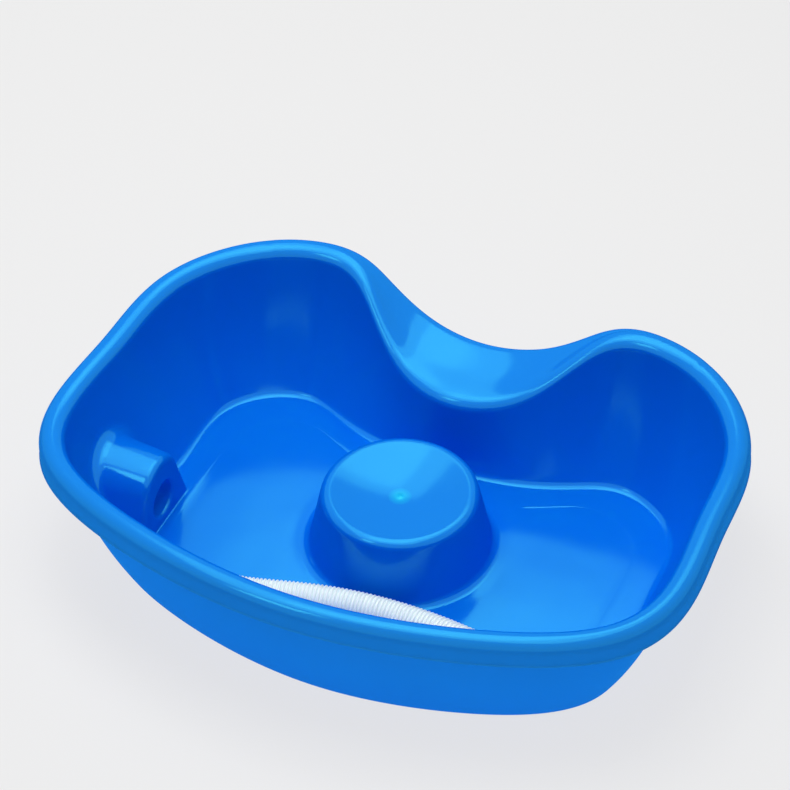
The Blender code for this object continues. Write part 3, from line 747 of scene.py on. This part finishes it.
def window_limits():
    """Stations and rows of the tub's grid between which the boss takes its place."""
    half = BOSS_ARCH_RADIUS + BOSS_BLEND + WINDOW_MARGIN + (BORE_Z + BOSS_ARCH_RISE) * math.tan(BOSS_FLARE)
    inside = [
        i for i, column in enumerate(wall_columns)
        if column[0].x < 0 and abs(column[0].y + BORE_FORWARD) < half
    ]
    top_z = BORE_Z + BOSS_ARCH_RISE + BOSS_ARCH_RADIUS + BOSS_BLEND + 2 * WINDOW_MARGIN
    middle = tub_columns[(inside[0] + inside[-1]) // 2]
    top_row = next(row for row in range(panel_row, len(middle)) if middle[row].z > top_z)
    return inside[0] - 1, inside[-1] + 1, panel_row, top_row


def window_border(first, last, low, high):
    """The window's border in order: along the floor, up, back over the wall, and down."""
    border = [tub_columns[i][low] for i in range(first, last)]
    border += [tub_columns[last][row] for row in range(low, high)]
    border += [tub_columns[i][high] for i in range(last, first, -1)]
    return border + [tub_columns[first][row] for row in range(high, low, -1)]


def unroll(point):
    """Place on the floor and end wall laid flat: along the wall, and up it or down the floor."""
    return Vector((point.y + BORE_FORWARD, point.z - FLOOR_TOP - point.x + BOSS_FACE_X - BOSS_REACH))


UNROLLED_MIDDLE = Vector((0, 0.030))  # inside the boss's border


def window_place(point, border):
    """Where the line from the boss's middle through a point crosses the window's border."""
    aim = unroll(point) - UNROLLED_MIDDLE
    for a, b in closed_pairs(border):
        met = crossing(aim, unroll(a) - UNROLLED_MIDDLE, unroll(b) - unroll(a))
        if met and met[0] > 0 and 0 <= met[1] <= 1:
            return a.lerp(b, met[1])
    return point


window_sides = window_limits()
print("window: stations", window_sides[:2], "rows", window_sides[2:])

# %% [markdown]
# ### Joining sheets
# Each part of the tub is a working mesh of its own, with rows that suit its form. What is left open
# between two of them is filled with triangles: by a fill operator on the flat face, and elsewhere
# by stepping along both lines in turn, which also works where the ground bends.

# %% Helpers that join and fill sheets
def join_sheet(whole, part):
    """Add one working mesh to another."""
    mesh = bpy.data.meshes.new("part")
    part.to_mesh(mesh)
    part.free()
    whole.from_mesh(mesh)
    bpy.data.meshes.remove(mesh)


def fill_between(outer, inner, facing):
    """Triangles between two closed lines, seen along the direction that they face."""
    shape = bmesh.new()
    for line in (outer, inner):
        for pair in closed_pairs([shape.verts.new(point) for point in line]):
            shape.edges.new(pair)
    bmesh.ops.triangle_fill(shape, use_beauty=True, use_dissolve=False, edges=shape.edges, normal=facing)
    return shape


def zip_between(outer, inner):
    """Triangles between two lines round the boss, each next one where the turn round it is smaller."""
    shape = bmesh.new()
    chains = []
    for line in (outer, inner):
        turns = [math.atan2(*(unroll(point) - UNROLLED_MIDDLE)) for point in line]
        turned = sorted(zip(turns, map(shape.verts.new, line)), key=lambda pair: pair[0])
        chains.append(turned + [(turned[0][0] + math.tau, turned[0][1])])
    places = [0, 0]
    while places[0] < len(outer) or places[1] < len(inner):
        ahead = [chain[min(place + 1, len(chain) - 1)] for chain, place in zip(chains, places)]
        outer_first = places[0] < len(outer) and ahead[0][0] < ahead[1][0]
        side = 0 if outer_first or places[1] == len(inner) else 1
        shape.faces.new((chains[0][places[0]][1], chains[1][places[1]][1], ahead[side][1]))
        places[side] += 1
    return shape


def bore_ring(x_back, radius):
    """Circle round the bore's axis, behind the face."""
    turns = [math.tau * step / BORE_SIDES for step in range(BORE_SIDES)]
    return [BORE_MOUTH + Vector((-x_back, radius * math.cos(a), radius * math.sin(a))) for a in turns]


# %% [markdown]
# ### Face, bore and apron
# The face is flat, and its bore has a rounded lip and runs on outside the wall as a spigot. Rings of
# quads keep both evenly round, so only the flat part between the lip and the soft edge needs a fill.
# The apron is the ground round the boss: rows up a small fillet, and rows that lie on the tub.

# %% Face, bore and apron
SPIGOT_STEPS = 6
FOOT_FILLET_STEPS = 4
APRON_SHARES = (0.3, 0.62)  # of the way to the window
APRON_EASE = 3  # rounds of smoothing of the rows' directions


def boss_face(rings):
    """Flat face inside the soft edge, with the bore's rounded lip and the spigot behind it."""
    edge = rings[0] + bottom_line(rings[0][-1], rings[0][0])
    inside = arch_ring(BOSS_FACE_X, -BOSS_EDGE_RADIUS - FLAT_BORDER, BOSS_FOOT_Z + FLAT_BORDER)
    inside += bottom_line(inside[-1], inside[0])
    lip_edge = BORE_RADIUS + BORE_LIP
    rows = [bore_ring(0.0, lip_edge + FLAT_BORDER)]
    for step in range(LIP_STEPS + 1):
        turn = UPRIGHT * step / LIP_STEPS
        rows.append(bore_ring(BORE_LIP * (1 - math.cos(turn)), lip_edge - BORE_LIP * math.sin(turn)))
    depth = WALL / 2 + SPIGOT_LENGTH
    for step in range(1, SPIGOT_STEPS + 1):
        rows.append(bore_ring(BORE_LIP + (depth - BORE_LIP) * step / SPIGOT_STEPS, BORE_RADIUS))
    shape = grid_sheet([edge, inside])
    join_sheet(shape, fill_between(inside, rows[0], Vector((1, 0, 0))))
    join_sheet(shape, grid_sheet(rows))
    return shape


def boss_apron(border, window, wall_tree):
    """Rows from the boss's border round a small foot fillet and over the tub to the window."""
    middle = sum(border, Vector()) / len(border)
    near = [wall_tree.find_nearest(point) for point in border]
    feet, facings = [hit[0] for hit in near], [hit[1] for hit in near]
    aims = [
        (after - before).cross(facing).normalized()
        for (before, _, after), facing in zip(with_neighbours(feet), facings)
    ]
    if sum(aim.dot(foot - middle) for aim, foot in zip(aims, feet)) < 0:
        aims = [-aim for aim in aims]
    for _ in range(APRON_EASE):
        aims = [(a + aim * 2 + b).normalized() for a, aim, b in with_neighbours(aims)]
    lands = [wall_tree.find_nearest(foot + aim * BOSS_FOOT_FILLET)[0] for foot, aim in zip(feet, aims)]
    corners = [
        foot if (point - foot).length > BOSS_FOOT_FILLET / 4 else point.lerp(land, 0.5)
        for point, foot, land in zip(border, feet, lands)
    ]
    bends = list(zip(border, corners, lands))
    rows = [[bend(*ends, share) for ends in bends] for share in even_shares(FOOT_FILLET_STEPS)]
    goals = [window_place(land, window) for land in lands]
    for share in APRON_SHARES:
        rows.append([wall_tree.find_nearest(p.lerp(q, share))[0] for p, q in zip(lands, goals)])
    shape = grid_sheet(rows)
    join_sheet(shape, zip_between(window, rows[-1]))
    return shape


# %% [markdown]
# ### The tub as one sheet
# Last, the window's faces are deleted, and the boss, its face and its apron are added. Merging
# doubles makes one sheet of them, whose only open edges are the skirt's and the spigot's. Its
# normals have to point into the tub, because the wall's thickness goes the other way.

# %% The tub as one sheet
MICROMETRE = 1e-6


def micrometres(point):
    """A point's place in whole micrometres, the same for vertices that coincide."""
    return tuple(round(c / MICROMETRE) for c in point)


def make_tub_sheet():
    """The whole inner surface: rest, floor, walls, rim, skirt and boss."""
    shape = grid_sheet([list(row) for row in zip(*tub_columns)])
    wall_tree = BVHTree.FromBMesh(shape)
    first, last, low, high = window_sides
    window = window_border(first, last, low, high)
    taken = [column[low:high + 1] for column in tub_columns[first:last + 1]]
    places = {micrometres(point) for column in taken for point in column}
    inside = [face for face in shape.faces if all(micrometres(vert.co) in places for vert in face.verts)]
    print("window faces", len(inside))
    bmesh.ops.delete(shape, geom=inside, context="FACES")
    rings = boss_rings(wall_tree)
    join_sheet(shape, grid_sheet(rings, closed=False))
    join_sheet(shape, boss_face(rings))
    join_sheet(shape, boss_apron(boss_border(rings), window, wall_tree))
    bmesh.ops.remove_doubles(shape, verts=shape.verts, dist=MERGE_GAP)
    bmesh.ops.recalc_face_normals(shape, faces=shape.faces)
    above_floor = Vector((0, -TUB_WIDTH / 4, TUB_WIDTH))
    if BVHTree.FromBMesh(shape).ray_cast(above_floor, -UP)[1].z < 0:
        bmesh.ops.reverse_faces(shape, faces=shape.faces)
    open_edges = [edge for edge in shape.edges if edge.is_boundary]
    wrong = [edge for edge in shape.edges if not edge.is_manifold and not edge.is_boundary]
    print("tub sheet: open edges", len(open_edges), "wrong edges", len(wrong))
    return shape


# %% [markdown]
# ## Wall thickness
# The Solidify modifier gives the sheet its wall, three millimetres to the dry side, and closes the
# skirt's lower edge and the spigot's end. The modifier's result is taken as a mesh, and its hard
# edges there get a small bevel, as every moulded edge has.

# %% Thick tub
EDGE_BREAK = 0.0007
HARD_ANGLE = math.radians(60)
CUT_REACH = WALL * 1.1  # how far a cut edge lies from the sheet's open edge at most


def make_tub():
    """Give the sheet its thickness and soften its cut edges."""
    inner = make_tub_sheet()
    open_ends = search_tree([vert.co for vert in inner.verts if vert.is_boundary])
    sheet = place_piece("tub_sheet", inner)
    thick = sheet.modifiers.new("wall", "SOLIDIFY")
    thick.thickness = WALL
    thick.offset = -1.0
    thick.use_even_offset = True
    shape = bmesh.new()
    shape.from_object(sheet, bpy.context.evaluated_depsgraph_get())
    bpy.data.objects.remove(sheet, do_unlink=True)
    for vert in shape.verts:
        vert.co.z = max(vert.co.z, 0.0)
    hard = [
        edge for edge in shape.edges
        if edge.calc_face_angle() > HARD_ANGLE
        and all(open_ends.find(vert.co)[2] < CUT_REACH for vert in edge.verts)
    ]
    bmesh.ops.bevel(
        shape, geom=hard, offset=EDGE_BREAK, segments=3, profile=0.5,
        affect="EDGES", material=-1, clamp_overlap=True,
    )
    tub = place_piece("tub", shape, sharp_degrees=45)
    print("hard edges softened", len(hard))
    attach(tub, "basin")
    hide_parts("basin")
    return tub


tub = make_tub()

# %% [markdown]
# ## Shader maths
# A finish is a tree of nodes. One small class holds an output socket of such a tree, so that sums
# and products of patterns are written as plain Python, and one method adds any other node: its
# settings first, and then the values or links of its sockets.

# %% Socket wrapper
class Flow:
    """An output socket of a material's node tree, with arithmetic that adds Math nodes."""

    def __init__(self, tree, socket=None):
        self.tree, self.socket = tree, socket

    def node(self, kind, settings=None, inputs=None, output=0):
        """Add a node of any type: settings first, then its sockets by name or number."""
        made = self.tree.nodes.new(kind)
        for name, value in (settings or {}).items():
            if name == "stops":
                stops = made.color_ramp.elements
                while len(stops) < len(value):
                    stops.new(1.0)
                for stop, (place, shade) in zip(stops, value):
                    stop.position, stop.color = place, (shade, shade, shade, 1.0)
            else:
                setattr(made, name, value)
        for key, value in (inputs or {}).items():
            if isinstance(value, Flow):
                self.tree.links.new(value.socket, made.inputs[key])
            else:
                made.inputs[key].default_value = value
        return None if output is None else Flow(self.tree, made.outputs[output])

    def other(self, output):
        """Another output of the same node."""
        return Flow(self.tree, self.socket.node.outputs[output])

    def math(self, operation, *values):
        return self.node("ShaderNodeMath", {"operation": operation}, dict(enumerate(values)))

    def __add__(self, other):
        return self.math("ADD", self, other)

    def __radd__(self, other):
        return self.math("ADD", other, self)

    def __sub__(self, other):
        return self.math("SUBTRACT", self, other)

    def __rsub__(self, other):
        return self.math("SUBTRACT", other, self)

    def __mul__(self, other):
        return self.math("MULTIPLY", self, other)

    def __rmul__(self, other):
        return self.math("MULTIPLY", other, self)


# %% [markdown]
# ### Finishes and patterns
# A finish starts as an empty tree and ends with one shader on the surface. Few patterns are needed
# in between: noise, a ramp that reshapes it, a blend of two colours, and a bump.

# %% Finishes and patterns
def new_finish(name):
    """An empty material and a flow to add its nodes with."""
    material = bpy.data.materials.new(name)
    material.use_nodes = True
    material.node_tree.nodes.clear()
    return material, Flow(material.node_tree)


def close_finish(material, flow, shader):
    """Show a shader on the surface."""
    flow.node("ShaderNodeOutputMaterial", {}, {"Surface": shader}, None)
    print(material.name, len(flow.tree.nodes), "nodes")
    return material


def noise(flow, place, scale, detail):
    """Soft noise from 0 to 1 over the piece's own coordinates."""
    return flow.node("ShaderNodeTexNoise", {}, {"Vector": place, "Scale": scale, "Detail": detail})


def ramp(flow, value, *stops):
    """Reshape a value by stops of (place, height)."""
    return flow.node("ShaderNodeValToRGB", {"stops": stops}, {"Fac": value})


def mix_colors(flow, factor, first, second):
    """Blend two colours, by the factor from the first to the second."""
    return flow.node("ShaderNodeMix", {"data_type": "RGBA"}, {0: factor, 6: first, 7: second}, 2)


def bump(flow, height, distance, under=None):
    """Tilt the surface by a height pattern, over another tilt if there is one."""
    sockets = {"Height": height, "Distance": distance}
    if under:
        sockets["Normal"] = under
    return flow.node("ShaderNodeBump", {}, sockets)


# %% [markdown]
# ## Blue plastic
# The tub is polypropylene coloured right through with a strong, clear blue. Its skin mirrors the
# lamps faintly, and that gloss takes up the colour below it, which is why highlights look cyan and
# not white. One plain shader can't colour its gloss so far, so the finish is two in one: a matt
# body, and a thin share of a tinted mirror that grows towards grazing angles. The moulded skin is
# slightly wavy, so that reflections wobble, with a fine grain, a few shallow scuffs and faint clouds
# in the colour. Round the gate, where the plastic came into the mould, a painted highlight makes the
# colour paler.

# %% Blue plastic
DEEP_BLUE = (0.0006, 0.141, 0.71, 1.0)
CLEAR_BLUE = (0.0012, 0.168, 0.77, 1.0)
GATE_PAINTED_HIGHLIGHT = (0.0020, 0.400, 0.80, 1.0)
GATE_PLACE = (0.0, REST_BACK, FLOOR_TOP + REST_HEIGHT - REST_DISH)
GATE_HIGHLIGHT_RADIUS = 0.010
GLOSS_TINT = (0.12, 0.98, 0.80, 1.0)
GLOSS_SHARE, GLOSS_GRAZE, GLOSS_IOR = 0.060, 0.07, 1.5
CLOUDS, SMEARS = (9.0, 3.0), (60.0, 3.0)  # scale and detail of each noise
WAVES, WAVE_HEIGHT = (14.0, 1.0), 0.00045
GRAIN, GRAIN_HEIGHT = (1800.0, 2.0), 0.000006
SCUFFS, SCUFF_STRETCH = (3.0, 4.0), (40.0, 160.0, 40.0)
SCUFF_STOPS = (0.62, 0.0), (0.74, 1.0)
GATE_HIGHLIGHT_STOPS = (0.2, 1.0), (1.0, 0.0)
GLOSS_ROUGHNESS, SMEAR_ROUGHNESS, SCUFF_ROUGHNESS = 0.10, 0.05, 0.08


def blue_plastic():
    """Matt blue body under a thin cyan gloss."""
    material, flow = new_finish("blue_plastic_skin")
    place = flow.node("ShaderNodeTexCoord", output="Object")
    clouds = mix_colors(flow, noise(flow, place, *CLOUDS), DEEP_BLUE, CLEAR_BLUE)
    # Painted highlight: the colour turns paler cyan round the gate.
    gate_gap = flow.node("ShaderNodeVectorMath", {"operation": "DISTANCE"}, {0: place, 1: GATE_PLACE}, 1)
    gate_highlight = ramp(flow, gate_gap * (1 / GATE_HIGHLIGHT_RADIUS), *GATE_HIGHLIGHT_STOPS)
    color = mix_colors(flow, gate_highlight, clouds, GATE_PAINTED_HIGHLIGHT)
    stretch = flow.node("ShaderNodeMapping", {}, {"Vector": place, "Scale": SCUFF_STRETCH})
    scuffs = ramp(flow, noise(flow, stretch, *SCUFFS), *SCUFF_STOPS)
    rough = GLOSS_ROUGHNESS + noise(flow, place, *SMEARS) * SMEAR_ROUGHNESS + scuffs * SCUFF_ROUGHNESS
    wave = bump(flow, noise(flow, place, *WAVES), WAVE_HEIGHT)
    skin = bump(flow, noise(flow, place, *GRAIN), GRAIN_HEIGHT, wave)
    body = flow.node("ShaderNodeBsdfPrincipled", {}, {
        "Base Color": color, "Roughness": rough, "Specular IOR Level": 0.0, "Normal": skin,
    })
    gloss = flow.node("ShaderNodeBsdfAnisotropic", {}, {
        "Color": GLOSS_TINT, "Roughness": rough, "Normal": skin,
    })
    share = flow.node("ShaderNodeFresnel", {}, {"IOR": GLOSS_IOR}) * GLOSS_GRAZE + GLOSS_SHARE
    mixed = flow.node("ShaderNodeMixShader", {}, {0: share, 1: body, 2: gloss})
    return close_finish(material, flow, mixed)


tub.data.materials.append(blue_plastic())

# %% [markdown]
# ## Hose and fitting plastic
# The hose is thin white polyethylene with crests polished to a gloss. The grooves between them are
# painted grey as the shade that falls in them, with faint stains, and both the white and the grey
# are painted a little cyan for the light that the blue tub throws back. A pattern over the whole
# hose couldn't follow its bends, so the mesh itself carries how far each point stands out on its
# rib, and the colour and the gloss follow that. The fittings are a harder, slightly greyer white.

# %% Hose and fitting plastic
# Both hose colours lean to cyan: painted bounce light from the blue tub. The grey is painted shade in the
# grooves.
BOUNCE_TINTED_RIB_WHITE = (0.88, 0.95, 0.92, 1.0)
PAINTED_GROOVE_SHADE = (0.74, 0.85, 0.84, 1.0)
FITTING_LIGHT = (0.74, 0.77, 0.80, 1.0)
FITTING_DARK = (0.66, 0.69, 0.72, 1.0)
HOSE_STAINS, HOSE_SMEARS, HOSE_GRAIN = (45.0, 3.0), (300.0, 2.0), (900.0, 2.0)
FITTING_CLOUDS, FITTING_SMEARS, FITTING_GRAIN = (60.0, 3.0), (220.0, 3.0), (1500.0, 2.0)
HOSE_GRAIN_HEIGHT, FITTING_GRAIN_HEIGHT = 0.00001, 0.000012
CLEAN_LEAST, CLEAN_SPREAD = 0.85, 0.3  # shares of the crest's white
HOSE_ROUGHNESS, CREST_POLISH, HOSE_SMEAR_ROUGHNESS = 0.52, 0.16, 0.08
FITTING_ROUGHNESS, FITTING_SMEAR_ROUGHNESS = 0.38, 0.14


def plain_plastic(name, color_and_rough, grain, grain_height):
    """One white plastic: a function of the flow and the place gives its colour and roughness."""
    material, flow = new_finish(name)
    place = flow.node("ShaderNodeTexCoord", output="Object")
    skin = bump(flow, noise(flow, place, *grain), grain_height)
    color, rough = color_and_rough(flow, place)
    return close_finish(material, flow, flow.node("ShaderNodeBsdfPrincipled", {}, {
        "Base Color": color, "Roughness": rough, "Normal": skin,
    }))


def hose_looks(flow, place):
    """White glossy crests, and painted shade that greys the grooves, made uneven by stains."""
    crest = flow.node("ShaderNodeAttribute", {"attribute_name": "rib_crest"}, output="Fac")
    clean = CLEAN_LEAST + noise(flow, place, *HOSE_STAINS) * CLEAN_SPREAD
    rough = HOSE_ROUGHNESS - crest * CREST_POLISH
    rough = rough + noise(flow, place, *HOSE_SMEARS) * HOSE_SMEAR_ROUGHNESS
    # The crest's height mixes the painted groove shade into the white; stains make it uneven.
    return mix_colors(flow, crest * clean, PAINTED_GROOVE_SHADE, BOUNCE_TINTED_RIB_WHITE), rough


def fitting_looks(flow, place):
    """Slightly cloudy pale grey, satin with faint smears."""
    color = mix_colors(flow, noise(flow, place, *FITTING_CLOUDS), FITTING_DARK, FITTING_LIGHT)
    smears = noise(flow, place, *FITTING_SMEARS)
    return color, FITTING_ROUGHNESS + smears * FITTING_SMEAR_ROUGHNESS


hose_skin = plain_plastic("white_hose_skin", hose_looks, HOSE_GRAIN, HOSE_GRAIN_HEIGHT)
hose.data.materials.append(hose_skin)
fitting_skin = plain_plastic("pale_fitting_skin", fitting_looks, FITTING_GRAIN, FITTING_GRAIN_HEIGHT)
for fitting in (plug, cuff):
    fitting.data.materials.append(fitting_skin)

# %% [markdown]
# ## Pale table
# A plain pale table carries the tub's soft shadow. The camera and the gloss see it mostly as an even
# grey that gives off its own light, as a lit studio table looks. A smaller share of it is the real
# surface, which takes the shadow. A white one without that glow would turn grey away from the lamps.

# %% Pale table
FLOOR_SIZE = 8.0
FLOOR_COLOR = (0.90, 0.90, 0.90, 1.0)
FLOOR_GLOW = (0.851, 0.851, 0.851, 1.0)
GLOW_SHARE = 0.85


def add_stage():
    """The surface that the tub stands on."""
    shape = bmesh.new()
    bmesh.ops.create_grid(shape, x_segments=1, y_segments=1, size=FLOOR_SIZE / 2)
    table = place_piece("table", shape)
    material, flow = new_finish("pale_table")
    surface = flow.node("ShaderNodeBsdfDiffuse", {}, {"Color": FLOOR_COLOR})
    glow = flow.node("ShaderNodeEmission", {}, {"Color": FLOOR_GLOW})
    camera_ray = flow.node("ShaderNodeLightPath", output="Is Camera Ray")
    seen = camera_ray + camera_ray.other("Is Glossy Ray") + camera_ray.other("Is Transmission Ray")
    share = flow.math("MINIMUM", seen, 1.0) * GLOW_SHARE
    mixed = flow.node("ShaderNodeMixShader", {}, {0: share, 1: surface, 2: glow})
    table.data.materials.append(close_finish(material, flow, mixed))


add_stage()

# %% [markdown]
# ## Light
# Two soft boxes above and a lit sheet on the table give the light, and the gloss doesn't see them.
# It sees three others, which give no light. One set for both would be simpler, but this way the
# highlights lie where the real ones do while the light stays even. The boxes hang at different
# heights, because lamps in one plane hide one another. An even sky fills the rest.

# %% Light
SKY_COLOR = (0.97, 0.98, 1.0, 1.0)
SKY_STRENGTH = 0.345
SKY_IN_GLOSS = 1.60
SKY_SEEN = 0.86
WATTS_PER_RADIANCE = 4.0
LIGHT_BOXES = (  # name, place, target, size and radiance
    ("top_softbox", (0.0, 0.0, 1.6), (0.0, 0.0, 0.0), (0.85, 0.85), 4.0),
    ("side_softbox", (-0.65, 0.45, 1.5), (0.0, 0.0, 0.0), (0.65, 1.3), 2.7),
    ("light_table", (0.0, 0.0, 0.0005), (0.0, 0.0, 1.0), (1.15, 0.95), 0.50),
)
GLOSS_BOXES = (
    ("wide_gloss", (-0.15, 0.40, 1.53), (-0.15, 0.40, 0.0), (1.4, 2.0), 1.6),
    ("inner_gloss", (-0.18, 0.48, 1.45), (-0.18, 0.48, 0.0), (0.6, 1.25), 1.2),
    ("left_gloss", (-0.57, -1.05, 1.4), (-0.2, 0.0, 0.0), (0.4, 0.5), 3.0),
)


def add_softbox(name, place, target, size, radiance):
    """A rectangular lamp that shines at a target, as bright as a white surface times radiance."""
    lamp = bpy.data.lights.new(name, "AREA")
    lamp.shape = "RECTANGLE"
    lamp.size, lamp.size_y = size
    lamp.energy = radiance * WATTS_PER_RADIANCE * size[0] * size[1]
    box = bpy.data.objects.new(name, lamp)
    bpy.context.scene.collection.objects.link(box)
    box.location = place
    box.rotation_euler = (Vector(place) - Vector(target)).to_track_quat("Z", "Y").to_euler()
    print(name, round(lamp.energy, 1), "watts")
    return box


def add_sky():
    """An even pale sky: white in the gloss, as a studio's walls are, and pale behind the tub."""
    world = bpy.data.worlds.new("sky")
    world.use_nodes = True
    world.node_tree.nodes.clear()
    flow = Flow(world.node_tree)
    glossy_ray = flow.node("ShaderNodeLightPath", output="Is Glossy Ray")
    seen = glossy_ray.other("Is Camera Ray") + glossy_ray.other("Is Transmission Ray")
    in_gloss = glossy_ray * (SKY_IN_GLOSS - SKY_STRENGTH)
    strength = seen * (SKY_SEEN - SKY_STRENGTH) + in_gloss + SKY_STRENGTH
    sky = flow.node("ShaderNodeBackground", {}, {"Color": SKY_COLOR, "Strength": strength})
    flow.node("ShaderNodeOutputWorld", {}, {"Surface": sky}, None)
    bpy.context.scene.world = world


for values in LIGHT_BOXES:
    add_softbox(*values).visible_glossy = False
for values in GLOSS_BOXES:
    add_softbox(*values).visible_diffuse = False
add_sky()
bpy.context.scene.view_settings.view_transform = "Standard"
